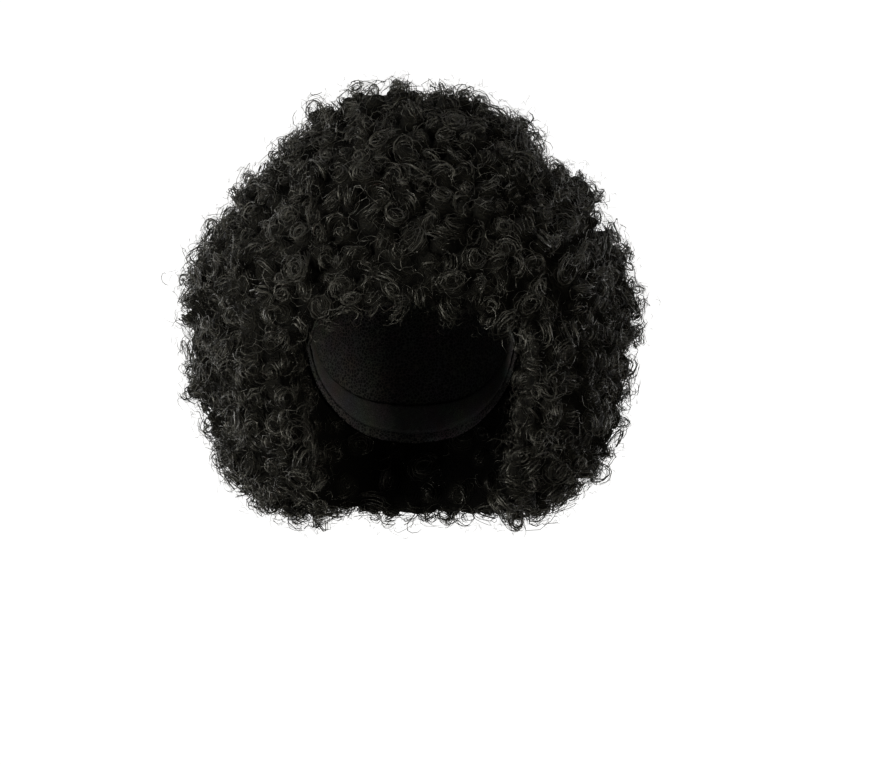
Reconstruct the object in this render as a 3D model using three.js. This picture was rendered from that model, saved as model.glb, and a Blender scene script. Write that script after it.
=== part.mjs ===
// Afro wig: a full, round mass of tight curls sewn in zones to a thin stretch
// cap, with an elastic band inside the cap's rim.
//
// Millimetres, +Z up. The wearer looks along -Y, the wearer's left is +X.
// Origin: the inside of the cap at the top, where it sits on the crown of the head.
//
// Every surface is measured from one centre inside the head:
//   polar    angle from straight up, in degrees
//   azimuth  angle about +Z, 0 at the front (-Y), 90 at +X, 180 at the back

import * as THREE from 'three';

// ---------------------------------------------------------------- sizes (mm)
const CENTRE = new THREE.Vector3(0, 0, -90); // centre of the head form
const CAP_WALL = 2;          // thickness of the stretch cap
const CAP_TO_HAIR = 2.4;     // free space between the cap and the hair zones
const BAND_WALL = 1.2;       // thickness of the elastic band
const BAND_CLEAR = 1.0;      // free space between the band and the cap
const BAND_TOP = 0.90;       // where the band starts and ends, as a part of the
const BAND_BOTTOM = 0.985;   //   way from the cap's top to its rim
const LUMP_HEIGHT = 3.2;     // how far the clumps of curls rise and fall
const LUMP_LENGTH = 42;      // distance from one clump to the next
const EDGE_ROUND_FACE = 34;  // rounding of the hair beside the face opening
const EDGE_ROUND_HEM = 30;   // rounding of the hair at its lower edge
const EDGE_BLUNT = 1.6;      // keeps those edges blunt

// ------------------------------------------------------------ angles (degrees)
const ZONE_GAP = 0.38;       // half of the gap between two hair zones, at their surface
const ROOT_GAP = 1.0;        //   and at their roots
const CROWN_EDGE = 40;       // polar angle where the crown zone ends
const FRINGE_HEM = 100;      // polar angle where the fringe ends
const HAIR_HEM = 150;        // polar angle where the sides and nape end
const FACE_SIDE = 24;        // azimuth of the face opening's sides, at the hair's surface
const TEMPLE_SIDE = 57;      // azimuth of the face opening's sides, at the head
const FRINGE_LEAN = 37;      // how far the fringe leans down from its roots
const FRINGE_ARCH = 4;       // how much higher the fringe ends at its middle
const BACK_EDGE = 120;       // azimuth where the sides meet the back

// Outline of the hair: distance from the centre, by polar angle
const OUTLINE = [
  { polar:   0, left: 173, right: 173, front: 173, back: 173 },
  { polar:  10, left: 172, right: 173, front: 171, back: 173 },
  { polar:  20, left: 169, right: 170, front: 167, back: 172 },
  { polar:  30, left: 164, right: 167, front: 163, back: 172 },
  { polar:  40, left: 160, right: 162, front: 161, back: 172 },
  { polar:  50, left: 157, right: 160, front: 158, back: 173 },
  { polar:  60, left: 157, right: 159, front: 157, back: 176 },
  { polar:  70, left: 159, right: 161, front: 156, back: 179 },
  { polar:  80, left: 162, right: 160, front: 155, back: 180 },
  { polar:  90, left: 162, right: 159, front: 153, back: 180 },
  { polar: 100, left: 159, right: 158, front: 151, back: 179 },
  { polar: 110, left: 161, right: 160, front: 151, back: 178 },
  { polar: 120, left: 163, right: 164, front: 152, back: 177 },
  { polar: 130, left: 168, right: 167, front: 156, back: 176 },
  { polar: 140, left: 166, right: 164, front: 161, back: 174 },
  { polar: 150, left: 167, right: 165, front: 164, back: 171 },
];

// Head form, the inside of the cap: distance from the centre, by polar angle.
// Below the ears it runs on straight down past the jaw and the neck.
const HEAD = [
  { polar:   0, side:  90, front:  90, back:  90 },
  { polar:  10, side:  90, front:  90, back:  90 },
  { polar:  20, side:  90, front:  92, back:  92 },
  { polar:  30, side:  90, front:  94, back:  95 },
  { polar:  40, side:  88, front:  96, back:  97 },
  { polar:  50, side:  84, front:  97, back:  98 },
  { polar:  60, side:  80, front:  96, back:  98 },
  { polar:  70, side:  77, front:  94, back:  98 },
  { polar:  80, side:  76, front:  94, back:  98 },
  { polar:  90, side:  76, front:  94, back:  98 },
  { polar: 100, side:  77, front:  95, back:  99 },
  { polar: 110, side:  81, front:  98, back: 102 },
  { polar: 120, side:  87, front: 104, back: 106 },
  { polar: 130, side:  97, front: 114, back: 113 },
  { polar: 140, side: 114, front: 130, back: 127 },
  { polar: 150, side: 144, front: 150, back: 146 },
];

// Rim of the cap: forehead, temple, over the ear, behind the ear, nape
const RIM = [
  { azimuth:   0, polar:  65 },
  { azimuth:  25, polar:  68 },
  { azimuth:  50, polar:  80 },
  { azimuth:  70, polar: 100 },
  { azimuth:  95, polar:  94 },
  { azimuth: 120, polar: 116 },
  { azimuth: 150, polar: 131 },
  { azimuth: 180, polar: 134 },
];

// Divisions of the zones, in degrees. Each list has an even number of steps,
// so that the inner faces can use every second one.
const CROWN_ROWS = [
  { polar: 8, of: 17 }, { polar: 16, of: 34 }, { polar: 24, of: 34 },
  { polar: 32, of: 68 }, { polar: CROWN_EDGE, of: 68 },
];
const UPPER_ROWS = eased(CROWN_EDGE, FRINGE_HEM, 12, 0, 0.5);
const LOWER_ROWS = eased(FRINGE_HEM, HAIR_HEM, 12, 0, 0.5);
const FRINGE_COLUMNS = eased(-FACE_SIDE, FACE_SIDE, 10, 0, 0);
const SIDE_COLUMNS = eased(FACE_SIDE, BACK_EDGE, 18, 0.6, 0);
const BACK_COLUMNS = eased(BACK_EDGE, 360 - BACK_EDGE, 22, 0, 0);

// Levels of the lines in a zone's walls, between its surface (1) and its roots (0)
const WALL_LEVELS = [0.75, 0.5, 0.25];

// ------------------------------------------------------------------ functions

// n steps from a to b, shorter near the start or the end
function eased(a, b, n, nearStart, nearEnd) {
  const list = [];
  for (let i = 0; i <= n; i++) {
    const t = i / n;
    const s = t - nearStart * t * (1 - t) + nearEnd * t * (1 - t);
    list.push(a + (b - a) * s);
  }
  return list;
}

// smooth curve through one column of a table
function along(table, key, x, column) {
  let i = 0;
  while (i < table.length - 2 && x > table[i + 1][key]) i++;
  const at = (k) => table[Math.min(Math.max(k, 0), table.length - 1)];
  const [p, a, b, q] = [at(i - 1), at(i), at(i + 1), at(i + 2)];
  const h = b[key] - a[key];
  const t = THREE.MathUtils.clamp((x - a[key]) / h, 0, 1);
  const slopeA = (b[column] - p[column]) / (b[key] - p[key]) * h;
  const slopeB = (q[column] - a[column]) / (q[key] - a[key]) * h;
  const t2 = t * t, t3 = t2 * t;
  return (2 * t3 - 3 * t2 + 1) * a[column] + (t3 - 2 * t2 + t) * slopeA
    + (3 * t2 - 2 * t3) * b[column] + (t3 - t2) * slopeB;
}

const rad = THREE.MathUtils.degToRad;
const { smoothstep, lerp } = THREE.MathUtils;

// azimuth brought to -180..180
function turned(azimuth) {
  return ((azimuth + 180) % 360 + 360) % 360 - 180;
}

function direction(polar, azimuth) {
  const s = Math.sin(rad(polar));
  return new THREE.Vector3(
    s * Math.sin(rad(azimuth)), -s * Math.cos(rad(azimuth)), Math.cos(rad(polar)));
}

// distance on an ellipse with the given side and front or back half-axes
function oval(side, ahead, azimuth) {
  return 1 / Math.hypot(Math.sin(rad(azimuth)) / side, Math.cos(rad(azimuth)) / ahead);
}

function headRadius(polar, azimuth) {
  const ahead = Math.cos(rad(azimuth)) > 0 ? 'front' : 'back';
  return oval(along(HEAD, 'polar', polar, 'side'), along(HEAD, 'polar', polar, ahead), azimuth);
}

// the clumps of curls, as a slow rise and fall of the outline
function lumps(dir) {
  const k = 2 * Math.PI * 165 / LUMP_LENGTH;
  const { x, y, z } = dir;
  return LUMP_HEIGHT * (
    0.50 * Math.sin(k * (0.62 * x + 0.71 * y + 0.33 * z) + 0.7)
    + 0.50 * Math.sin(k * (-0.80 * x + 0.36 * y + 0.48 * z) + 2.1)
    + 0.45 * Math.sin(k * (0.21 * x - 0.64 * y + 0.74 * z) + 4.0)
    + 0.35 * Math.sin(k * 0.52 * (0.15 * x + 0.30 * y - 0.94 * z) + 1.3));
}

function outlineRadius(polar, azimuth) {
  const side = Math.sin(rad(azimuth)) > 0 ? 'right' : 'left';
  const ahead = Math.cos(rad(azimuth)) > 0 ? 'front' : 'back';
  return oval(along(OUTLINE, 'polar', polar, side), along(OUTLINE, 'polar', polar, ahead), azimuth)
    + lumps(direction(polar, azimuth));
}

function rimPolar(azimuth) {
  return along(RIM, 'azimuth', Math.abs(turned(azimuth)), 'polar');
}

// where the hair that ends at a place on the outline is rooted on the head:
// beside the face and over the forehead the curls lean forward
function root(polar, azimuth) {
  const a = turned(azimuth), size = Math.abs(a);
  const rise = smoothstep(polar, CROWN_EDGE, FRINGE_HEM);
  const lean = rise * (1 - smoothstep(polar, FRINGE_HEM, HAIR_HEM)) * (1 - smoothstep(size, 0, 75));
  const spread = size < FACE_SIDE
    ? size * (TEMPLE_SIDE / FACE_SIDE - 1)
    : (TEMPLE_SIDE - FACE_SIDE) * (180 - size) / (180 - FACE_SIDE);
  return { polar: polar - FRINGE_LEAN * lean, azimuth: a + Math.sign(a) * spread * rise };
}

// fullness, 0 to 1: it falls off in a round edge towards the face opening and the hem
function fullness(polar, azimuth) {
  const mm = rad(1) * 155;
  const aside = Math.max(0, Math.abs(turned(azimuth)) - FACE_SIDE) * Math.sin(rad(polar)) * mm;
  const above = Math.max(0, FRINGE_HEM - polar) * mm;
  const round = (d, width) => {
    const t = Math.min(1, (d + EDGE_BLUNT) / width);
    return Math.sqrt(1 - (1 - t) * (1 - t));
  };
  return round(Math.hypot(aside, above), EDGE_ROUND_FACE) * round((HAIR_HEM - polar) * mm, EDGE_ROUND_HEM);
}

// the fringe ends a little higher in its middle
function arched(polar, azimuth) {
  const size = Math.abs(turned(azimuth));
  if (size >= FACE_SIDE) return polar;
  const rise = Math.cos(rad(90 * size / FACE_SIDE)) ** 2 * smoothstep(polar, CROWN_EDGE, FRINGE_HEM);
  return polar - FRINGE_ARCH * rise;
}

// a point in the hair, level 0 at its roots and 1 at its surface
function hairPoint(row, azimuth, level) {
  const polar = arched(row, azimuth);
  const from = root(polar, azimuth);
  const part = level * fullness(row, azimuth);
  const rooted = headRadius(from.polar, from.azimuth) + CAP_WALL + CAP_TO_HAIR;
  const reach = lerp(rooted, outlineRadius(polar, azimuth), part);
  const dir = direction(lerp(from.polar, polar, part), lerp(from.azimuth, turned(azimuth), part));
  return dir.multiplyScalar(reach).add(CENTRE);
}

// A closed mesh, put together from strips between two lines of points.
// A line is a list of { at, index }, with "at" rising along it.
class Body {
  constructor() { this.positions = []; this.triangles = []; }

  point(v) {
    this.positions.push(v.x, v.y, v.z);
    return this.positions.length / 3 - 1;
  }

  line(values, place) {
    return values.map((at) => ({ at, index: this.point(place(at)) }));
  }

  // the same for a ring: the last entry is the first point again
  ring(values, place) {
    const line = this.line(values, place);
    return [...line, { at: line[0].at + 360, index: line[0].index }];
  }

  strip(a, b, flipped = false) {
    const add = (p, q, r) => this.triangles.push(...(flipped ? [p, r, q] : [p, q, r]));
    let i = 0, k = 0;
    while (i < a.length - 1 || k < b.length - 1) {
      const stepA = i < a.length - 1 && (k === b.length - 1
        || a[i + 1].at + a[i].at < b[k + 1].at + b[k].at - 1e-9);
      if (stepA) {
        add(a[i].index, b[k].index, a[i + 1].index);
        i++;
      } else {
        add(a[i].index, b[k].index, b[k + 1].index);
        k++;
      }
    }
  }

  strips(lines, flipped = false) {
    for (let i = 0; i < lines.length - 1; i++) this.strip(lines[i], lines[i + 1], flipped);
  }

  fan(point, ring, below) {
    for (let i = 0; i < ring.length - 1; i++) {
      const [p, q] = below ? [ring[i], ring[i + 1]] : [ring[i + 1], ring[i]];
      this.triangles.push(point, p.index, q.index);
    }
  }

  geometry() {
    const g = new THREE.BufferGeometry();
    g.setAttribute('position', new THREE.Float32BufferAttribute(this.positions, 3));
    g.setIndex(this.triangles);
    g.computeVertexNormals();
    return g;
  }
}

const everySecond = (list) => list.filter((_, i) => i % 2 === 0);

// A zone of hair between two polar angles and two azimuths. Its outer face has
// all rows and columns, its inner face every second row and the columns given
// for it, and four walls join them. The walls follow the lean of the hair, by
// lines of points at the levels given for them.
function hairZone(rows, columns, innerColumns = everySecond(columns)) {
  const body = new Body();
  const few = everySecond(rows);
  const pulledIn = (list, value, gap) => {
    if (value === list[0]) return value + gap;
    if (value === list[list.length - 1]) return value - gap;
    return value;
  };
  const place = (polar, azimuth, level) => {
    const gap = lerp(ROOT_GAP, ZONE_GAP, level);
    return hairPoint(pulledIn(rows, polar, gap), pulledIn(columns, azimuth, gap), level);
  };
  const face = (rowList, columnList, level) => rowList.map((polar) =>
    body.line(columnList, (azimuth) => place(polar, azimuth, level)));
  const outer = face(rows, columns, 1);
  const inner = face(few, innerColumns, 0);
  const upper = WALL_LEVELS.map((level) => face([rows[0]], innerColumns, level)[0]);
  const lower = WALL_LEVELS.map((level) => face([rows[rows.length - 1]], innerColumns, level)[0]);
  body.strips([...outer, ...lower, ...[...inner].reverse(), ...[...upper].reverse(), outer[0]]);

  const sideWall = (last) => {
    const end = (line) => line[last ? line.length - 1 : 0].index;
    const azimuth = columns[last ? columns.length - 1 : 0];
    const between = (level, k) => rows.map((at, i) => {
      if (i === 0) return { at, index: end(upper[k]) };
      if (i === rows.length - 1) return { at, index: end(lower[k]) };
      return { at, index: body.point(place(at, azimuth, level)) };
    });
    return [
      rows.map((at, i) => ({ at, index: end(outer[i]) })),
      ...WALL_LEVELS.map(between),
      few.map((at, i) => ({ at, index: end(inner[i]) })),
    ];
  };
  body.strips(sideWall(false));
  body.strips(sideWall(true), true);
  return body.geometry();
}

// The crown zone: rings about the top, with fewer points as they get smaller
function crownZone() {
  const body = new Body();
  const around = [...FRINGE_COLUMNS.slice(0, -1), ...SIDE_COLUMNS.slice(0, -1),
    ...BACK_COLUMNS.slice(0, -1), ...SIDE_COLUMNS.slice(1).reverse().map((a) => 360 - a)];
  const some = (step) => around.filter((_, i) => i % step === 0);
  const edge = (level) => CROWN_EDGE - lerp(ROOT_GAP, ZONE_GAP, level);
  const rings = (level, rows, steps) => rows.map((row, i) => body.ring(some(steps[i]), (azimuth) =>
    hairPoint(row.polar === CROWN_EDGE ? edge(level) : row.polar, azimuth, level)));
  const outer = rings(1, CROWN_ROWS, [4, 2, 2, 1, 1]);
  const inner = rings(0, everySecond(CROWN_ROWS), [4, 4, 2]);
  const top = body.point(hairPoint(0, 0, 1));
  const under = body.point(hairPoint(0, 0, 0));
  body.fan(top, outer[0], true);
  body.strips([...outer, ...inner.reverse()]);
  body.fan(under, inner[inner.length - 1], false);
  return body.geometry();
}

// angles round the cap, and parts of the way from its top to its rim
const CAP_COLUMNS = Array.from({ length: 40 }, (_, i) => i * 9 - 180);
const CAP_ROWS = [0.09, 0.19, 0.29, 0.39, 0.49, 0.59, 0.69, 0.79, BAND_TOP, BAND_BOTTOM, 1];

function capPoint(part, azimuth, offset) {
  const polar = part * rimPolar(azimuth);
  return direction(polar, azimuth).multiplyScalar(headRadius(polar, azimuth) + offset).add(CENTRE);
}

function stretchCap() {
  const body = new Body();
  const rings = (offset) => CAP_ROWS.map((part) =>
    body.ring(CAP_COLUMNS, (azimuth) => capPoint(part, azimuth, offset)));
  const outer = rings(CAP_WALL), inner = rings(0);
  const top = body.point(capPoint(0, 0, CAP_WALL));
  const under = body.point(capPoint(0, 0, 0));
  body.fan(top, outer[0], true);
  body.strips([...outer, ...inner.reverse()]);
  body.fan(under, inner[inner.length - 1], false);
  return body.geometry();
}

function elasticBand() {
  const body = new Body();
  const ring = (part, offset) => body.ring(CAP_COLUMNS, (azimuth) => capPoint(part, azimuth, offset));
  const near = -BAND_CLEAR, far = -BAND_CLEAR - BAND_WALL;
  const corners = [ring(BAND_TOP, near), ring(BAND_BOTTOM, near), ring(BAND_BOTTOM, far), ring(BAND_TOP, far)];
  body.strips([...corners, corners[0]]);
  return body.geometry();
}

// ------------------------------------------------------------------ assembly

const curls = () => new THREE.MeshStandardMaterial({ color: 0x131112, roughness: 0.55, metalness: 0 });
const net = () => new THREE.MeshStandardMaterial({ color: 0x1b1a1b, roughness: 0.9, metalness: 0 });
const elastic = () => new THREE.MeshStandardMaterial({ color: 0x222122, roughness: 0.75, metalness: 0 });

const wig = new THREE.Group();
wig.name = 'afro_wig';

function add(name, geometry, material) {
  const mesh = new THREE.Mesh(geometry, material);
  mesh.name = name;
  wig.add(mesh);
}

const mirrored = (list) => list.map((azimuth) => -azimuth).reverse();

add('cap_net', stretchCap(), net());
add('edge_elastic', elasticBand(), elastic());
add('crown_curls', crownZone(), curls());
add('fringe_curls', hairZone(UPPER_ROWS, FRINGE_COLUMNS, FRINGE_COLUMNS), curls());
add('left_side_curls', hairZone([...UPPER_ROWS, ...LOWER_ROWS.slice(1)], mirrored(SIDE_COLUMNS)), curls());
add('right_side_curls', hairZone([...UPPER_ROWS, ...LOWER_ROWS.slice(1)], SIDE_COLUMNS), curls());
add('back_curls', hairZone(UPPER_ROWS, BACK_COLUMNS), curls());
add('nape_curls', hairZone(LOWER_ROWS, BACK_COLUMNS), curls());

export default wig;
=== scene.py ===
import math

import bpy
import numpy as np
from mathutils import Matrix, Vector, noise
from mathutils.bvhtree import BVHTree
from mathutils.kdtree import KDTree


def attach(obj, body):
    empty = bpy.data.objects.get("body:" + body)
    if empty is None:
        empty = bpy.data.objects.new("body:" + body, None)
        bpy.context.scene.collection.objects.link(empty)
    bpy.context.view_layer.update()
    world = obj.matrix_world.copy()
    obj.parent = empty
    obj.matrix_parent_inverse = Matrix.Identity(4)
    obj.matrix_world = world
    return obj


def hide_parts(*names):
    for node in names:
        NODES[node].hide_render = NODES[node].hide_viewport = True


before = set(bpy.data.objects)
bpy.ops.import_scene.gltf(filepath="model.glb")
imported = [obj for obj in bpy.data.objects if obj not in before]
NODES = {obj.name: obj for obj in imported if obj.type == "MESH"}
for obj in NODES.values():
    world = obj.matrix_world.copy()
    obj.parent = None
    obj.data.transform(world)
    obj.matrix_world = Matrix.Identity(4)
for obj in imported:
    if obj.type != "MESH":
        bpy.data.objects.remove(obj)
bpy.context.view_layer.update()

MM = 0.001
CENTRE = np.array([0.0, 0.0, -0.090])  # middle of the head form
ZONES = ("crown_curls", "fringe_curls", "left_side_curls", "right_side_curls", "back_curls", "nape_curls")

# the hair's build, in millimetres
VOXEL = 3.4                          # mesh size of the under hair
CURL_SPACINGS = (20.0, 16.5, 13.4)   # large curls first, then smaller ones between them
INNER_SPACING = 1.45                 # wider apart on the faces that look inward or down
CORE_DEPTH = 5.0                     # how deep the under hair lies under a curl's tip
CORE_RISE = 9.0                      # how far it rises out of the creases round a curl
HOLE = 3.0                           # the hollow in the middle of a curl
TUFT_SPACING = 42.0                  # from one tuft of several curls to the next
TUFT_VALLEY = 8.5                    # how much lower the curls lie between two tufts
# tufts and notches of the front outline: degrees round its middle from +X, and rise
OUTLINE_MIDDLE = (-1.5, -82.4)
OUTLINE_TUFTS = ((16, 5.5), (29, -2), (36, 6.5), (44, -5.5), (54, -2), (60.5, 6), (73, 7.5), (81, -3), (94, 4),
                 (104, 6), (114, 6.5), (120.5, -4), (126, 5.5), (132, -4), (142, 8.5), (155, 4.5), (166, 11),
                 (176, 4.5), (190, -5.5), (197, 6), (206, -4), (217, 5), (226, -8), (-9, 3), (-22, 3.5),
                 (-32, -4), (-40, 4))


# ---------------------------------------------------------------- small helpers

def unit(v):
    return v / np.maximum(np.linalg.norm(v, axis=-1, keepdims=True), 1e-12)


def node_arrays(name):
    """A node's points and triangles, with points that lie on each other merged."""
    me = NODES[name].data
    co = np.empty(len(me.vertices) * 3)
    me.vertices.foreach_get("co", co)
    me.calc_loop_triangles()
    tri = np.empty(len(me.loop_triangles) * 3, dtype=np.int32)
    me.loop_triangles.foreach_get("vertices", tri)
    co, tri = co.reshape(-1, 3), tri.reshape(-1, 3)
    key = np.round(co / 2e-6).astype(np.int64)
    _, first, back = np.unique(key, axis=0, return_index=True, return_inverse=True)
    back = back.reshape(-1)
    return co[first], back[tri]


def point_normals(co, tri):
    cross = np.cross(co[tri[:, 1]] - co[tri[:, 0]], co[tri[:, 2]] - co[tri[:, 0]])
    normal = np.zeros_like(co)
    for k in range(3):
        np.add.at(normal, tri[:, k], cross)
    return unit(normal)


def bvh_of(co, tri):
    return BVHTree.FromPolygons(co.tolist(), tri.tolist(), epsilon=0.0)


def link(me, name):
    o = bpy.data.objects.new(name, me)
    bpy.context.scene.collection.objects.link(o)
    return o


def evaluated(o):
    """The object's mesh with its modifiers, as arrays of points and faces."""
    dg = bpy.context.evaluated_depsgraph_get()
    me = o.evaluated_get(dg).to_mesh()
    co = np.empty(len(me.vertices) * 3)
    me.vertices.foreach_get("co", co)
    faces = [tuple(p.vertices) for p in me.polygons]
    o.evaluated_get(dg).to_mesh_clear()
    return co.reshape(-1, 3), faces


def triangles(faces):
    out = []
    for f in faces:
        for i in range(1, len(f) - 1):
            out.append((f[0], f[i], f[i + 1]))
    return np.array(out, dtype=np.int64)


def spread_out(p, spacing):
    """Picks points in their order so that none lies nearer to another than its spacing."""
    size = float(np.max(spacing))
    cell, keep = {}, []
    for i in range(len(p)):
        key = tuple(np.floor(p[i] / size).astype(int))
        near = False
        for dx in (-1, 0, 1):
            for dy in (-1, 0, 1):
                for dz in (-1, 0, 1):
                    for j in cell.get((key[0] + dx, key[1] + dy, key[2] + dz), ()):
                        d = p[j] - p[i]
                        if d[0] * d[0] + d[1] * d[1] + d[2] * d[2] < spacing[i] ** 2:
                            near = True
                            break
                    if near:
                        break
                if near:
                    break
            if near:
                break
        if not near:
            cell.setdefault(key, []).append(i)
            keep.append(i)
    return np.array(keep)


# ---------------------------------------------------------------- materials

def new_material(name):
    m = bpy.data.materials.new(name)
    m.use_nodes = True
    nt = m.node_tree
    bsdf = next(n for n in nt.nodes if n.type == "BSDF_PRINCIPLED")
    return m, nt, bsdf


def node(nt, kind, **values):
    n = nt.nodes.new(kind)
    for k, v in values.items():
        if k in n.inputs:
            n.inputs[k].default_value = v
        else:
            setattr(n, k, v)
    return n


def ramp(nt, stops):
    n = nt.nodes.new("ShaderNodeValToRGB")
    e = n.color_ramp.elements
    while len(e) < len(stops):
        e.new(0.5)
    for el, (pos, col) in zip(e, stops):
        el.position = pos
        el.color = (*col, 1.0)
    return n


def maths(nt, what, a, b=None, c=None):
    """A maths node. a, b and c are numbers or outputs of other nodes."""
    n = nt.nodes.new("ShaderNodeMath")
    n.operation = what
    for i, v in enumerate((a, b, c)):
        if v is None:
            continue
        if isinstance(v, (int, float)):
            n.inputs[i].default_value = v
        else:
            nt.links.new(v, n.inputs[i])
    return n.outputs[0]


def hair_material(name, roughness, dark, light, warm, lines, bump):
    """Synthetic hair: colour, gloss and fine lines run along the strand by its own map."""
    m, nt, bsdf = new_material(name)
    uv = node(nt, "ShaderNodeUVMap", uv_map="OFBake")
    stretch = node(nt, "ShaderNodeMapping")
    stretch.inputs["Scale"].default_value = (2.6, lines, 1.0)
    nt.links.new(uv.outputs["UV"], stretch.inputs["Vector"])
    fine = node(nt, "ShaderNodeTexNoise", Scale=1.0, Detail=3.0, Roughness=0.6)
    nt.links.new(stretch.outputs["Vector"], fine.inputs["Vector"])
    broad = node(nt, "ShaderNodeMapping")
    broad.inputs["Scale"].default_value = (0.9, 61.0, 1.0)
    nt.links.new(uv.outputs["UV"], broad.inputs["Vector"])
    tone = node(nt, "ShaderNodeTexNoise", Scale=1.0, Detail=1.0, Roughness=0.5)
    nt.links.new(broad.outputs["Vector"], tone.inputs["Vector"])
    c1 = ramp(nt, [(0.34, dark), (0.64, light)])
    nt.links.new(fine.outputs["Fac"], c1.inputs["Fac"])
    c2 = ramp(nt, [(0.68, (0, 0, 0)), (0.82, (1, 1, 1))])
    nt.links.new(tone.outputs["Fac"], c2.inputs["Fac"])
    mix = node(nt, "ShaderNodeMix", data_type="RGBA")
    nt.links.new(c2.outputs["Color"], mix.inputs["Factor"])
    nt.links.new(c1.outputs["Color"], mix.inputs["A"])
    mix.inputs["B"].default_value = (*warm, 1.0)
    nt.links.new(mix.outputs["Result"], bsdf.inputs["Base Color"])
    rr = node(nt, "ShaderNodeMapRange")
    rr.inputs["To Min"].default_value = roughness - 0.08
    rr.inputs["To Max"].default_value = roughness + 0.16
    nt.links.new(fine.outputs["Fac"], rr.inputs["Value"])
    nt.links.new(rr.outputs["Result"], bsdf.inputs["Roughness"])
    if bump:
        b = node(nt, "ShaderNodeBump", Strength=bump, Distance=0.0006)
        nt.links.new(fine.outputs["Fac"], b.inputs["Height"])
        nt.links.new(b.outputs["Normal"], bsdf.inputs["Normal"])
    bsdf.inputs["Specular IOR Level"].default_value = 0.60
    bsdf.inputs["Specular Tint"].default_value = (1.0, 0.965, 0.84, 1.0)
    return m


HAIR_DARK = (0.0014, 0.0013, 0.0009)
HAIR_LIGHT = (0.0125, 0.0120, 0.0084)
HAIR_WARM = (0.022, 0.0100, 0.0072)
mat_lock = hair_material("curl_lock_hair", 0.38, HAIR_DARK, HAIR_LIGHT, HAIR_WARM, 250.0, 1.0)
mat_strand = hair_material("curl_strand_hair", 0.31, HAIR_DARK, HAIR_LIGHT, HAIR_WARM, 64.0, 0.0)


def under_material():
    """The mass of fine curled hair between and under the curls: lines that run round each
    curl, broken and wandering, with painted shade that darkens it in the creases, in the middle of a curl and under
    the cap."""
    m, nt, bsdf = new_material("under_hair")
    tex = node(nt, "ShaderNodeTexCoord")
    ring = node(nt, "ShaderNodeAttribute", attribute_name="ring")
    wander = node(nt, "ShaderNodeTexNoise", Scale=190.0, Detail=2.0, Roughness=0.6)
    nt.links.new(tex.outputs["Object"], wander.inputs["Vector"])
    round_it = maths(nt, "MULTIPLY", ring.outputs["Fac"], 2 * math.pi / 1.7)
    phase = maths(nt, "MULTIPLY_ADD", wander.outputs["Fac"], 17.0, round_it)
    wave = maths(nt, "MULTIPLY_ADD", maths(nt, "SINE", phase), 0.5, 0.5)
    breaks = node(nt, "ShaderNodeTexNoise", Scale=520.0, Detail=3.0, Roughness=0.75)
    nt.links.new(tex.outputs["Object"], breaks.inputs["Vector"])
    height = maths(nt, "MULTIPLY", wave, breaks.outputs["Fac"])
    c = ramp(nt, [(0.16, (0.0002, 0.00019, 0.00013)), (0.52, (0.0088, 0.0083, 0.0056))])
    nt.links.new(height, c.inputs["Fac"])
    # painted shade: this attribute turns the colour to near black in the creases, in the curls' hollow middles and
    # under the cap, and also makes it rougher
    painted_shade = node(nt, "ShaderNodeAttribute", attribute_name="painted_shade")
    shade = node(nt, "ShaderNodeMix", data_type="RGBA")
    nt.links.new(painted_shade.outputs["Fac"], shade.inputs["Factor"])
    nt.links.new(c.outputs["Color"], shade.inputs["A"])
    shade.inputs["B"].default_value = (0.0001, 0.0001, 0.00008, 1.0)
    nt.links.new(shade.outputs["Result"], bsdf.inputs["Base Color"])
    rough = maths(nt, "MULTIPLY_ADD", painted_shade.outputs["Fac"], 0.40, 0.58)
    nt.links.new(rough, bsdf.inputs["Roughness"])
    bump = node(nt, "ShaderNodeBump", Strength=1.0, Distance=0.0013)
    nt.links.new(height, bump.inputs["Height"])
    nt.links.new(bump.outputs["Normal"], bsdf.inputs["Normal"])
    bsdf.inputs["Specular IOR Level"].default_value = 0.10
    bsdf.inputs["Specular Tint"].default_value = (1.0, 0.965, 0.84, 1.0)
    return m


mat_under = under_material()


# ---------------------------------------------------------------- under hair: one body in clumps

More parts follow.
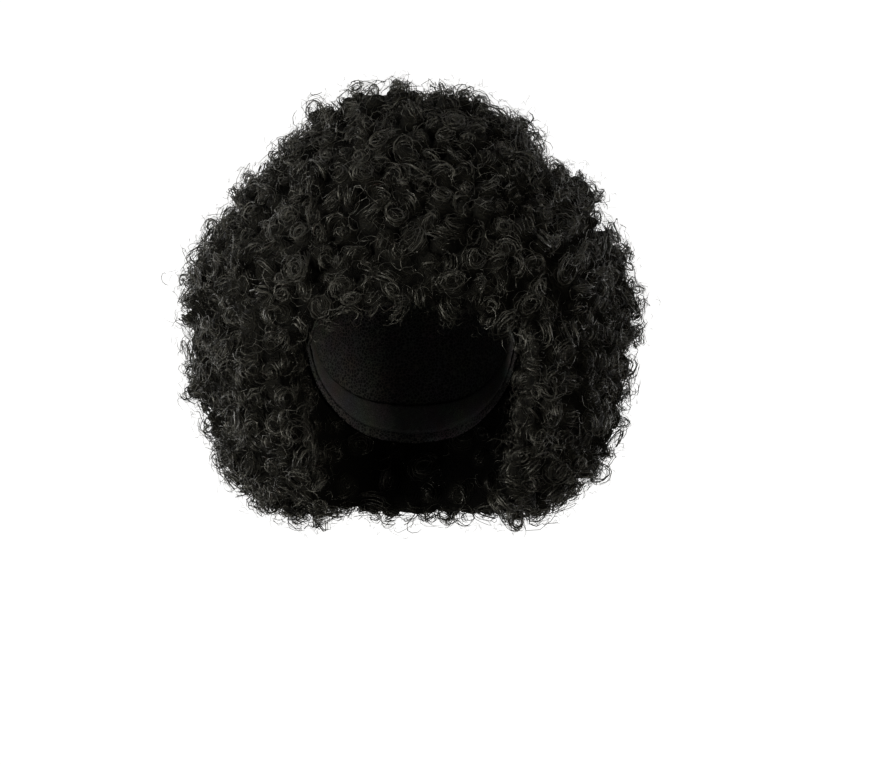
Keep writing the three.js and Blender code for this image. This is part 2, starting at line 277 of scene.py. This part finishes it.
def under_hair():
    """The dense hair inside: a dome with a hollow middle under each curl, creases between."""
    verts, tris, base = [], [], 0
    for name in ZONES:
        co, tri = node_arrays(name)
        verts.append(co + point_normals(co, tri) * 1.3 * MM)
        tris.append(tri + base)
        base += len(co)
    me = bpy.data.meshes.new("zones")
    me.from_pydata(np.vstack(verts).tolist(), [], np.vstack(tris).tolist())
    o = link(me, "zones")
    r = o.modifiers.new("remesh", "REMESH")
    r.mode = "VOXEL"
    r.voxel_size = VOXEL * MM
    co, faces = evaluated(o)
    bpy.data.objects.remove(o)
    tri = triangles(faces)
    normal = point_normals(co, tri)
    own = bvh_of(co, tri)
    cap_co, cap_tri = node_arrays("cap_net")
    cap = bvh_of(cap_co, cap_tri)
    n = len(co)
    hidden = np.zeros(n, dtype=bool)
    thick = np.zeros(n)
    for i in range(n):
        d = Vector(normal[i])
        hidden[i] = cap.ray_cast(Vector(co[i]), d, 0.014)[0] is not None
        hit = own.ray_cast(Vector(co[i] - normal[i] * 0.0005), -d, 0.25)
        thick[i] = hit[3] if hit[0] is not None else 0.02
    facing = (normal * unit(co - CENTRE)).sum(1)
    inner = facing < 0.1

    rng = np.random.default_rng(5)
    free = np.nonzero(~hidden)[0]
    order, spacing = [], []
    for s in CURL_SPACINGS:
        o = rng.permutation(free)
        order.append(o)
        spacing.append(np.where(inner[o], INNER_SPACING, 1.0) * s * MM)
    order, spacing = np.concatenate(order), np.concatenate(spacing)
    keep = spread_out(co[order], spacing)
    seeds = order[keep]
    radius = 0.43 * spacing[keep] + rng.normal(0, 0.45, len(seeds)) * MM
    radius[inner[seeds]] *= 0.66
    lift = np.clip(rng.normal(1.2, 1.7, len(seeds)), -4.0, 4.0)
    # tufts: curls between two tufts lie lower
    tufts = free[rng.permutation(len(free))]
    tufts = tufts[spread_out(co[tufts], np.full(len(tufts), TUFT_SPACING * MM))]
    tuft_rise = rng.normal(0.8, 1.2, len(tufts))
    for k, i in enumerate(seeds):
        d = np.linalg.norm(co[tufts] - co[i], axis=1) / MM
        a, b = np.argsort(d)[:2]
        lift[k] += tuft_rise[a] - TUFT_VALLEY * math.exp(-((d[b] - d[a]) / 8.0) ** 2)
        x, y, z = co[i] / MM
        turn = math.degrees(math.atan2(z - OUTLINE_MIDDLE[1], x - OUTLINE_MIDDLE[0]))
        rise = sum(r * math.exp(-(((turn - t + 180) % 360 - 180) / 4.5) ** 2) for t, r in OUTLINE_TUFTS)
        side = math.exp(-((y - 5) / 55) ** 2) if math.hypot(normal[i][0], normal[i][2]) > 0.5 else 0.0
        lift[k] += rise * side
    lift = np.clip(lift, -10.0, 9.5) * MM
    lift[inner[seeds]] = np.clip(0.3 * lift[inner[seeds]], -2 * MM, 1 * MM)
    kd = KDTree(len(seeds))
    for k, i in enumerate(seeds):
        kd.insert(Vector(co[i]), k)
    kd.balance()
    dome, raised, hole, ring = np.zeros(n), np.zeros(n), np.zeros(n), np.zeros(n)
    for i in range(n):
        best, at, far = 9.0, 0, 0.0
        for _, k, d in kd.find_n(Vector(co[i]), 5):
            t = d / (radius[k] + 0.9 * MM)
            if t < best:
                best, at, far = t, k, d
        dome[i] = math.sqrt(max(0.0, 1 - min(1.0, best) ** 2))
        raised[i] = lift[at] * (0.4 + 0.6 * dome[i])
        hole[i] = math.exp(-(far / (0.42 * radius[at])) ** 2)
        ring[i] = far / MM
    rise = np.where(inner, 0.4, 1.0) * CORE_RISE * MM
    uneven = np.array([noise.noise(Vector(c * 95.0)) + 0.7 * noise.noise(Vector(c * 170.0 + 7.0)) for c in co])
    move = CORE_DEPTH * MM + rise * (1 - dome) - raised + np.where(inner, 0.3, 1.0) * HOLE * MM * hole
    move += np.where(inner, 0.5, 2.0) * MM * uneven
    move = np.minimum(move, 0.36 * thick)
    move[hidden] = np.minimum(2.4 * MM, 0.3 * thick[hidden])
    moved = co - normal * move[:, None]
    # painted shade mask for the material: 1 in the creases between curls, in each curl's hollow middle and where the
    # cap covers the hair
    painted_shade_mask = np.clip(np.maximum((1 - dome) * 1.1, 0.85 * hole), 0, 1)
    painted_shade_mask[hidden] = 1.0

    me = bpy.data.meshes.new("under_hair")
    me.from_pydata(moved.tolist(), [], faces)
    me.polygons.foreach_set("use_smooth", np.ones(len(me.polygons), dtype=bool))
    me.attributes.new("painted_shade", "FLOAT", "POINT").data.foreach_set("value", painted_shade_mask.astype(np.float32))
    me.attributes.new("ring", "FLOAT", "POINT").data.foreach_set("value", ring.astype(np.float32))
    me.materials.append(mat_under)
    o = link(me, "under_hair")
    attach(o, "root")
    print("UNDER", len(tri), "triangles", len(seeds), "curls")
    zone_trees = [bvh_of(*node_arrays(z)) for z in ZONES]
    zone = np.array([int(np.argmin([t.find_nearest(Vector(co[i]))[3] for t in zone_trees])) for i in seeds])
    return dict(p=co[seeds], n=normal[seeds], inner=inner[seeds], radius=radius, lift=lift, zone=zone)


PLACES = under_hair()


# ---------------------------------------------------------------- tubes as one joined mesh

def tubes(name, groups, materials):
    """One joined mesh of closed tubes. A group has points (n, k, 3), ref (n, k, 3), which
    gives each section its first direction, half widths wide and thick (n, k), sides,
    row and rows for the map, and a material index. ridge makes every second side stand
    out, and twist (k) turns the section on its way."""
    vs, loops, starts, totals, uvs, mats = [], [], [], [], [], []
    vbase = lbase = 0
    for g in groups:
        p, ref, s = g["points"], g["ref"], g["sides"]
        n, k, _ = p.shape
        if n == 0:
            continue
        tan = unit(np.gradient(p, axis=1))
        a = unit(ref - (ref * tan).sum(-1, keepdims=True) * tan)
        b = np.cross(tan, a)
        beta = 2 * np.pi * np.arange(s)[None, :] / s + g.get("twist", np.zeros(k))[:, None]  # k, s
        out = 1 + g.get("ridge", 0.0) * (-1.0) ** np.arange(s)
        ring = (p[:, :, None, :]
                + g["thick"][:, :, None, None] * (np.cos(beta) * out)[None, :, :, None] * a[:, :, None, :]
                + g["wide"][:, :, None, None] * (np.sin(beta) * out)[None, :, :, None] * b[:, :, None, :])
        vs.append(ring.reshape(-1, 3))
        idx = vbase + np.arange(n * k * s).reshape(n, k, s)
        nxt = np.roll(idx, -1, axis=2)
        quad = np.stack([idx[:, :-1], nxt[:, :-1], nxt[:, 1:], idx[:, 1:]], axis=-1)  # n, k-1, s, 4
        loops.append(quad.reshape(-1))
        nq = n * (k - 1) * s
        starts.append(lbase + 4 * np.arange(nq))
        totals.append(np.full(nq, 4))
        lbase += 4 * nq
        u = np.linspace(0, 1, k)
        row = g["row"][:, None, None]
        rows = g["rows"]
        uu = np.broadcast_to(u[None, :, None], (n, k, s))
        v0 = np.broadcast_to((row + 0.08 + 0.84 * np.arange(s) / s) / rows, (n, k, s))
        v1 = np.broadcast_to((row + 0.08 + 0.84 * (np.arange(s) + 1) / s) / rows, (n, k, s))
        quv = np.stack([
            np.stack([uu[:, :-1], v0[:, :-1]], -1), np.stack([uu[:, :-1], v1[:, :-1]], -1),
            np.stack([uu[:, 1:], v1[:, 1:]], -1), np.stack([uu[:, 1:], v0[:, 1:]], -1)], axis=-2)
        uvs.append(quv.reshape(-1, 2))
        mats.append(np.full(nq, g["mat"]))
        for end, order in ((0, -1), (-1, 1)):
            cap = idx[:, end, ::order]
            loops.append(cap.reshape(-1))
            starts.append(lbase + s * np.arange(n))
            totals.append(np.full(n, s))
            lbase += s * n
            cu = np.full((n, s), 0.0 if end == 0 else 1.0)
            cv = np.broadcast_to((g["row"][:, None] + 0.5) / rows, (n, s))
            uvs.append(np.stack([cu, cv], -1).reshape(-1, 2))
            mats.append(np.full(n, g["mat"]))
        vbase += n * k * s
    me = bpy.data.meshes.new(name)
    v = np.vstack(vs)
    l = np.concatenate(loops)
    me.vertices.add(len(v))
    me.vertices.foreach_set("co", v.astype(np.float32).ravel())
    me.loops.add(len(l))
    me.loops.foreach_set("vertex_index", l.astype(np.int32))
    st = np.concatenate(starts)
    me.polygons.add(len(st))
    me.polygons.foreach_set("loop_start", st.astype(np.int32))
    me.polygons.foreach_set("loop_total", np.concatenate(totals).astype(np.int32))
    me.polygons.foreach_set("material_index", np.concatenate(mats).astype(np.int32))
    me.polygons.foreach_set("use_smooth", np.ones(len(st), dtype=bool))
    layer = me.uv_layers.new(name="OFBake")
    layer.data.foreach_set("uv", np.concatenate(uvs).astype(np.float32).ravel())
    me.update()
    me.validate()
    for m in materials:
        me.materials.append(m)
    return link(me, name)


def triangles_of(g):
    n, k, s = g["points"].shape[0], g["points"].shape[1], g["sides"]
    return n * ((k - 1) * s * 2 + 2 * (s - 2))


# ---------------------------------------------------------------- curls

def frames(axis, rng):
    helper = unit(rng.normal(size=axis.shape))
    e1 = unit(np.cross(axis, helper))
    e2 = np.cross(axis, e1)
    return e1, e2


def wobble(n, k, rng, size, modes=3):
    """Slow sideways wander of n strands over k points."""
    s = np.linspace(0, 1, k)
    out = np.zeros((n, k, 3))
    for m in range(1, modes + 1):
        amp = rng.normal(size=(n, 1, 3)) * size / m
        ph = rng.random((n, 1, 1)) * 2 * np.pi
        out += amp * np.sin(2 * np.pi * m * 0.8 * s[None, :, None] + ph)
    return out


def ringlet_field(at, rng):
    """Corkscrew curls: where each tip is, its axis, radius, length and turns. Most look
    outward with the tip wound inward; the springs lie along the surface."""
    p, n, inner, radius, lift = (PLACES[k][at] for k in ("p", "n", "inner", "radius", "lift"))
    m = len(p)
    down = np.array([0.0, 0.0, -1.0])
    side = unit(np.cross(n, unit(rng.normal(size=(m, 3)))))
    tilt = np.clip(rng.normal(42, 26, m), 0, 78)
    spring = (rng.random(m) < 0.20) & ~inner
    tilt[spring] = rng.uniform(60, 82, spring.sum())
    tilt = np.radians(tilt)[:, None]
    axis = unit(np.cos(tilt) * n + np.sin(tilt) * side + 0.18 * down)
    lean = np.sqrt(np.clip(1 - (axis * n).sum(1) ** 2, 0, 1))[:, None]
    length = np.where(spring, rng.uniform(8, 12, m), rng.uniform(6, 10, m)) * MM
    length[inner] *= 0.6
    radius = np.where(spring, 0.8, 1.0) * radius
    tip = p + n * (lift[:, None] - 0.4 * MM) - n * lean * radius[:, None] * 0.95 + axis * lean * length[:, None] * 0.5
    return dict(p=tip, out=p + n * lift[:, None], n=n, axis=axis, radius=radius, length=length, spring=spring,
                turns=rng.uniform(0.95, 2.0, m), hand=rng.choice([-1.0, 1.0], m),
                phase=rng.random(m) * 2 * np.pi, inner=inner,
                start=rng.uniform(0.26, 0.9, m), oval=rng.uniform(0.64, 1.18, (m, 2)),
                drift=rng.normal(0, 3.0, (m, 2)) * MM)


def ringlet_lines(f, which, k, rng, bundle, jitter, first, last):
    """Strands of the curls' bundles: which says, for each strand, the curl it belongs to."""
    n = len(which)
    e1, e2 = f["e1"][which], f["e2"][which]
    ax = unit(f["axis"][which] + rng.normal(0, 0.14, (n, 3)))
    s = np.linspace(0, 1, k)[None, :]
    t0 = rng.uniform(0.0, first, n)[:, None]
    t1 = rng.uniform(last, 1.0, n)[:, None]
    t = t0 + (t1 - t0) * s
    begin = f["start"][which][:, None]
    shape = np.interp(t, [0, 0.16, 0.5, 1.0], [0.0, 0.45, 0.92, 1.0])
    shape = begin + (1 - begin) * shape
    shape = np.where(f["spring"][which][:, None], 0.80 + 0.2 * shape, shape)
    off = np.sqrt(rng.random(n))[:, None] * bundle * MM * (f["radius"][which][:, None] / (7.0 * MM))
    turn = rng.random(n)[:, None] * 2 * np.pi + 2 * np.pi * rng.uniform(0.3, 1.1, n)[:, None] * t
    rad = f["radius"][which][:, None] * shape - 0.8 * MM + off * np.cos(turn)
    ang = (f["phase"][which] + rng.normal(0, 0.75, n))[:, None] + f["hand"][which][:, None] * (
        2 * np.pi * f["turns"][which][:, None] * t)
    deep = f["length"][which][:, None] * t ** 1.1 + off * np.sin(turn)
    x = np.cos(ang) * rad * f["oval"][which, 0][:, None] + f["drift"][which, 0][:, None] * t
    y = np.sin(ang) * rad * f["oval"][which, 1][:, None] + f["drift"][which, 1][:, None] * t
    radial = np.cos(ang)[..., None] * e1[:, None] + np.sin(ang)[..., None] * e2[:, None]
    pts = (f["p"][which][:, None] - ax[:, None] * deep[..., None]
           + e1[:, None] * x[..., None] + e2[:, None] * y[..., None])
    pts += wobble(n, k, rng, jitter * MM)
    return pts, radial


def taper(k, n, start, end):
    s = np.linspace(0, 1, k)
    w = np.minimum(1.0, np.minimum((s + 0.02) / start, (1.02 - s) / end)) ** 0.6
    return np.broadcast_to(w, (n, k))


def arcs(p, nn, many, k, rng, radius, sweep, rise, spread, flat, half, size):
    """Loose arcs over the curls. flat 1 lays them along the surface, 0 leaves them free."""
    at = rng.integers(0, len(p), many)
    n = nn[at]
    aside = rng.normal(0, spread * MM, (many, 3))
    aside -= 0.8 * (aside * n).sum(1, keepdims=True) * n
    start = p[at] + aside + n * rng.uniform(*rise, many)[:, None] * MM
    e1, e2 = frames(n, rng)
    tilt = (1 - flat) * rng.normal(0, 0.9, many)[:, None]
    e1 = unit(e1 + n * tilt)
    e2 = unit(np.cross(e1, unit(n + (1 - flat) * 0.6 * rng.normal(size=(many, 3)))))
    r = rng.uniform(*radius, many)[:, None] * MM
    s = np.linspace(0, 1, k)[None, :]
    ang = rng.random(many)[:, None] * 2 * np.pi + rng.uniform(*sweep, many)[:, None] * rng.choice([-1, 1], many)[:, None] * s
    rr = r * (1 + rng.normal(0, 0.22, many)[:, None] * s)
    radial = np.cos(ang)[..., None] * e1[:, None] + np.sin(ang)[..., None] * e2[:, None]
    drift = n[:, None] * (rng.uniform(-2.5, 2.5, many)[:, None] * s * MM)[..., None]
    pts = start[:, None] + radial * rr[..., None] + drift + wobble(many, k, rng, size * MM)
    w = rng.uniform(*half, many)[:, None] * MM * taper(k, many, 0.12, 0.25)
    return dict(points=pts, ref=np.broadcast_to(radial, pts.shape), wide=w, thick=w, sides=3,
                row=rng.integers(0, 64, many), rows=64, mat=1)


def curl_zone(number, name, seed):
    rng = np.random.default_rng(seed)
    at = np.nonzero(PLACES["zone"] == number)[0]
    f = ringlet_field(at, rng)
    f["e1"], f["e2"] = frames(f["axis"], rng)
    m = len(f["p"])
    each = np.arange(m)

    def lines(many, k, bundle, jitter, first, last, half, rows, mat, sides=3, ridge=0.0):
        which = np.repeat(each, many)
        pts, ref = ringlet_lines(f, which, k, rng, bundle, jitter, first, last)
        w = rng.uniform(*half, len(which))[:, None] * MM * taper(k, len(which), 0.18, 0.25)
        return dict(points=pts, ref=ref, wide=w, thick=w, sides=sides, ridge=ridge,
                    twist=np.linspace(0, 5.0, k), row=rng.integers(0, rows, len(which)), rows=rows, mat=mat)

    core = lines(1, 12, 1.4, 0.5, 0.05, 0.90, (0.44, 0.68), 32, 0)
    locks = lines(2, 11, 2.8, 0.8, 0.16, 0.74, (0.26, 0.44), 64, 1)
    fine = lines(5 + (f["radius"] > 6.6 * MM), 10, 4.0, 1.1, 0.36, 0.60, (0.14, 0.26), 64, 1)
    loose = arcs(f["out"], f["n"], int(3.4 * m), 7, rng, (2.4, 9.5), (1.6, 4.2), (-7.0, -0.4), 6.5, 0.5, (0.14, 0.30), 0.8)
    fuzz = arcs(f["out"], f["n"], int(4.6 * m), 5, rng, (1.5, 5.0), (1.3, 3.2), (-3.0, 3.8), 6.5, 0.1, (0.07, 0.13), 0.7)
    total = []
    for part, groups in (("ringlets", [core, locks]), ("strands", [fine, loose, fuzz])):
        o = tubes(name + "_" + part, groups, [mat_lock, mat_strand])
        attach(o, "root")
        if part == "ringlets":
            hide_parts(ZONES[number])
        total.append(sum(triangles_of(g) for g in groups))
    print("CURLS", name, m, "curls", total, "triangles")


for number, (name, seed) in enumerate((
        ("crown", 11), ("fringe", 12), ("left_side", 13), ("right_side", 14), ("back", 15), ("nape", 16))):
    curl_zone(number, name, seed)


# ---------------------------------------------------------------- cap and band

def cloth_material(name, dark, light, scale, distance, rough):
    """Stretch cloth: threads round small open cells."""
    m, nt, bsdf = new_material(name)
    tex = node(nt, "ShaderNodeTexCoord")
    v = node(nt, "ShaderNodeTexVoronoi", Scale=scale, feature="DISTANCE_TO_EDGE")
    nt.links.new(tex.outputs["Object"], v.inputs["Vector"])
    c = ramp(nt, [(0.04, light), (0.16, dark)])
    nt.links.new(v.outputs["Distance"], c.inputs["Fac"])
    uneven = node(nt, "ShaderNodeTexNoise", Scale=60.0, Detail=3.0)
    nt.links.new(tex.outputs["Object"], uneven.inputs["Vector"])
    tone = node(nt, "ShaderNodeMix", data_type="RGBA", blend_type="MULTIPLY")
    tone.inputs["Factor"].default_value = 0.6
    nt.links.new(c.outputs["Color"], tone.inputs["A"])
    nt.links.new(uneven.outputs["Color"], tone.inputs["B"])
    nt.links.new(tone.outputs["Result"], bsdf.inputs["Base Color"])
    b = node(nt, "ShaderNodeBump", Strength=0.9, Distance=distance, invert=True)
    nt.links.new(v.outputs["Distance"], b.inputs["Height"])
    nt.links.new(b.outputs["Normal"], bsdf.inputs["Normal"])
    bsdf.inputs["Roughness"].default_value = rough
    bsdf.inputs["Specular IOR Level"].default_value = 0.3
    return m


mat_cap = cloth_material("cap_net_cloth", (0.006, 0.0057, 0.0052), (0.085, 0.081, 0.075), 430.0, 0.0012, 0.8)
mat_band = cloth_material("elastic_cloth", (0.022, 0.021, 0.020), (0.100, 0.097, 0.092), 900.0, 0.0005, 0.6)
mat_weft = cloth_material("weft_tape_cloth", (0.030, 0.029, 0.028), (0.110, 0.106, 0.100), 1200.0, 0.0004, 0.7)


def smooth_copy(node_name, name, levels, material):
    """A finer, smooth mesh on the form of a CAD node."""
    co, tri = node_arrays(node_name)
    me = bpy.data.meshes.new(name)
    me.from_pydata(co.tolist(), [], tri.tolist())
    o = link(me, name)
    q = o.modifiers.new("fine", "SUBSURF")
    q.levels = q.render_levels = levels
    co, faces = evaluated(o)
    bpy.data.objects.remove(o)
    me = bpy.data.meshes.new(name)
    me.from_pydata(co.tolist(), [], faces)
    me.polygons.foreach_set("use_smooth", np.ones(len(me.polygons), dtype=bool))
    me.materials.append(material)
    o = link(me, name)
    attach(o, "root")
    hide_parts(node_name)
    print("CLOTH", name, len(triangles(faces)), "triangles")
    return co, faces


cap_co, cap_faces = smooth_copy("cap_net", "stretch_cap", 1, mat_cap)
band_co, band_faces = smooth_copy("edge_elastic", "elastic_band", 1, mat_band)
CAP = bvh_of(cap_co, triangles(cap_faces))
BAND = bvh_of(band_co, triangles(band_faces))


def seen_from_inside(tree, polar, azimuth):
    d = np.array([math.sin(polar) * math.sin(azimuth), -math.sin(polar) * math.cos(azimuth), math.cos(polar)])
    hit = tree.ray_cast(Vector(CENTRE), Vector(d), 0.2)
    return (np.array(hit[0]), d) if hit[0] is not None else (None, d)


def weft_rows():
    """The sewn rows that carry the hair, as flat tapes on the inside of the cap."""
    groups = []
    k = 97
    for row, degrees in enumerate((14, 22, 30, 38, 46, 54, 62)):
        pts, ref = [], []
        for i in range(k):
            azimuth = 2 * math.pi * i / (k - 1) * 0.997 + 0.01
            hit, d = seen_from_inside(CAP, math.radians(degrees), azimuth)
            pts.append(hit - d * 0.15 * MM)
            ref.append(-d)
        wide = np.full((1, k), 1.7 * MM)
        groups.append(dict(points=np.array([pts]), ref=np.array([ref]), wide=wide, thick=wide * 0.33,
                           sides=6, row=np.array([row]), rows=16, mat=0))
    o = tubes("weft_rows", groups, [mat_weft])
    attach(o, "root")
    print("CLOTH weft_rows", sum(triangles_of(g) for g in groups), "triangles")


weft_rows()

# ---------------------------------------------------------------- floor, light, camera

def stage_bowl():
    """A pale floor whose edge runs up all round into a pale wall."""
    prof = [(0.0, -1.25), (1.5, -1.25), (3.2, -1.25)]
    for i in range(1, 17):
        a = math.pi / 2 * i / 16
        prof.append((3.2 + 1.6 * math.sin(a), -1.25 + 1.6 * (1 - math.cos(a))))
    prof.append((4.8, 6.0))
    n = 96
    verts, faces = [(0.0, 0.0, prof[0][1])], []
    for r, z in prof[1:]:
        verts += [(r * math.cos(2 * math.pi * i / n), r * math.sin(2 * math.pi * i / n), z) for i in range(n)]
    for i in range(n):
        faces.append((0, 1 + i, 1 + (i + 1) % n))
    for k in range(len(prof) - 2):
        for i in range(n):
            p, q = 1 + k * n + i, 1 + k * n + (i + 1) % n
            faces.append((p, p + n, q + n, q))
    me = bpy.data.meshes.new("bowl")
    me.from_pydata(verts, [], faces)
    for poly in me.polygons:
        poly.use_smooth = True
    m, nt, bsdf = new_material("pale_paper")
    bsdf.inputs["Base Color"].default_value = (0.80, 0.80, 0.80, 1.0)
    bsdf.inputs["Roughness"].default_value = 0.95
    bsdf.inputs["Specular IOR Level"].default_value = 0.0
    bsdf.inputs["Emission Color"].default_value = (1.0, 1.0, 1.0, 1.0)
    bsdf.inputs["Emission Strength"].default_value = 0.78
    me.materials.append(m)
    o = link(me, "backdrop")
    o.visible_diffuse = False
    o.visible_glossy = False
    o.visible_shadow = False
    return o


stage_bowl()


def area(name, place, aim, size, watts, colour=(1, 1, 1)):
    d = bpy.data.lights.new(name, "AREA")
    d.shape = "RECTANGLE"
    d.size, d.size_y = size
    d.energy = watts
    d.color = colour
    o = bpy.data.objects.new(name, d)
    bpy.context.scene.collection.objects.link(o)
    o.location = place
    o.rotation_euler = (Vector(aim) - Vector(place)).to_track_quat("-Z", "Y").to_euler()
    return o


area("key", (-2.0, -1.7, -0.3), (0, 0, -0.1), (0.6, 0.6), 80, (1.0, 0.99, 0.96))
area("fill", (1.5, -2.2, -0.2), (0, 0, -0.1), (0.8, 0.8), 34, (1.0, 0.97, 0.90))
area("low_left", (-1.9, -1.4, -1.0), (-0.1, 0, -0.16), (0.7, 0.7), 24)
area("top", (-0.2, 0.0, 1.8), (0, 0, 0), (1.4, 1.2), 15)
area("back_left", (-1.9, 1.6, 0.1), (0, 0, -0.05), (0.9, 1.4), 36)
area("back_right", (1.9, 1.6, 0.1), (0, 0, -0.05), (0.9, 1.4), 26)
area("back", (0.3, 2.4, 0.3), (0, 0, -0.08), (1.2, 1.0), 34)

world = bpy.data.worlds.new("studio")
bpy.context.scene.world = world
world.use_nodes = True
bg = next(n for n in world.node_tree.nodes if n.type == "BACKGROUND")
bg.inputs["Color"].default_value = (1, 1, 1, 1)
bg.inputs["Strength"].default_value = 0.13

cam_d = bpy.data.cameras.new("camera")
cam = bpy.data.objects.new("camera", cam_d)
bpy.context.scene.collection.objects.link(cam)
cam_d.sensor_width = 36.0
cam_d.lens = 121.8
cam.location = (0.016, -2.1, -0.127)
cam.rotation_euler = (math.radians(90.0), 0.0, 0.0)
bpy.context.scene.camera = cam
bpy.context.scene.view_settings.view_transform = "Standard"
